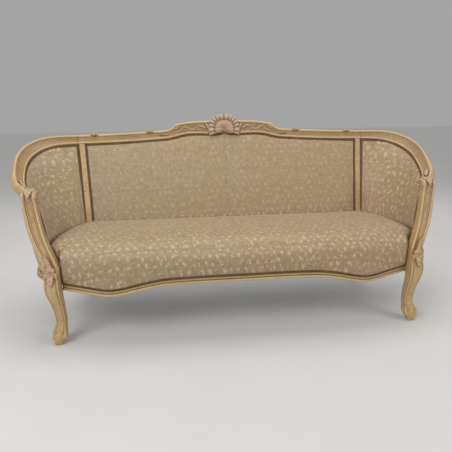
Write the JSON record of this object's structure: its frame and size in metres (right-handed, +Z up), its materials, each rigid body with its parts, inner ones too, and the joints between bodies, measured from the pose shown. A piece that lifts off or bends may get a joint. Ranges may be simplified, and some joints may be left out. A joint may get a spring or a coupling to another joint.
{
  "type": "sofa",
  "caption": "Basket-shaped settee with a carved and moulded wood frame, serpentine front rail, scroll feet, flaring closed arms, shell crest and a sprung, tight upholstered seat, back and arms.",
  "frame": {"origin": "on the floor, under the middle of the settee in width and depth", "axes": "+X to the viewer's right across the width, -Y towards the viewer, +Z up"},
  "size_m": [2.1, 0.7481, 0.9682],
  "materials": {
    "beech": "plain sawn beech, unfinished",
    "brocade": "pale gold satin brocade with a small floral figure",
    "gilded_wood": "carved beech with an antique cream and pale gold finish, satin",
    "gimp": "dark gold-brown woven braid",
    "hessian": "plain jute cloth",
    "spring_steel": "drawn spring wire, coppered",
    "stuffing": "felted hair and wadding",
    "webbing": "jute webbing with a herringbone weave"
  },
  "bodies": {
    "root": {"arm_cover_left": "brocade", "arm_cover_right": "brocade", "arm_gimp_left": "gimp", "arm_gimp_right": "gimp", "arm_rail_left": "gilded_wood", "arm_rail_right": "gilded_wood", "arm_stuffing_left": "stuffing", "arm_stuffing_right": "stuffing", "arm_support_left": "gilded_wood", "arm_support_right": "gilded_wood", "back_cover": "brocade", "back_gimp": "gimp", "back_stuffing": "stuffing", "back_webbing": "webbing", "corner_blocks": "beech", "crest_rail": "gilded_wood", "dust_cover": "hessian", "front_leg_left": "gilded_wood", "front_leg_right": "gilded_wood", "front_rail": "gilded_wood", "lower_arm_rail_left": "beech", "lower_arm_rail_right": "beech", "lower_back_rail": "beech", "outside_arm_cover_left": "brocade", "outside_arm_cover_right": "brocade", "outside_back_cover": "brocade", "rear_leg_left": "gilded_wood", "rear_leg_right": "gilded_wood", "rear_rail": "gilded_wood", "seat_braces": "beech", "seat_cover": "brocade", "seat_gimp": "gimp", "seat_springs": "spring_steel", "seat_stuffing": "stuffing", "seat_webbing": "webbing", "side_rail_left": "gilded_wood", "side_rail_right": "gilded_wood", "spring_hessian": "hessian"}
  },
  "joints": []
}
